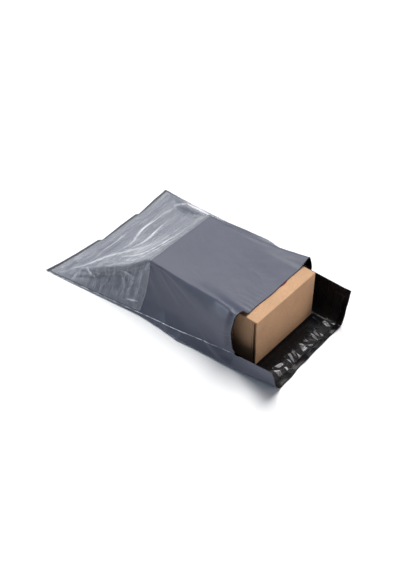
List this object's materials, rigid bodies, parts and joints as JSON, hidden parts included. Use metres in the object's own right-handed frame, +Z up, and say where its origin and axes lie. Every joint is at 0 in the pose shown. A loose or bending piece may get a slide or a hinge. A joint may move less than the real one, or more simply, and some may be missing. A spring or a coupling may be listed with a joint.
{
  "type": "poly mailer bag",
  "caption": "Grey and black courier mailing bag with a clear document pocket, lying open round a closed brown carton, its adhesive lip laid out in front.",
  "frame": {"origin": "middle of the bag's footprint, on the surface it lies on", "axes": "+Z up, +Y along the bag towards its closed end, +X across the mouth"},
  "size_m": [0.24, 0.375, 0.0862],
  "materials": {
    "film_grey": "soft gloss film, grey outside and black inside",
    "film_clear": "glossy hazy clear film",
    "hot_melt": "glossy",
    "liner": "glossy wrinkled clear film",
    "kraft": "uncoated brown board"
  },
  "bodies": {
    "root": {"mailer_film": "film_grey", "document_pocket": "film_clear", "adhesive_strip": "hot_melt", "release_liner": "liner", "carton": "kraft"}
  },
  "joints": []
}
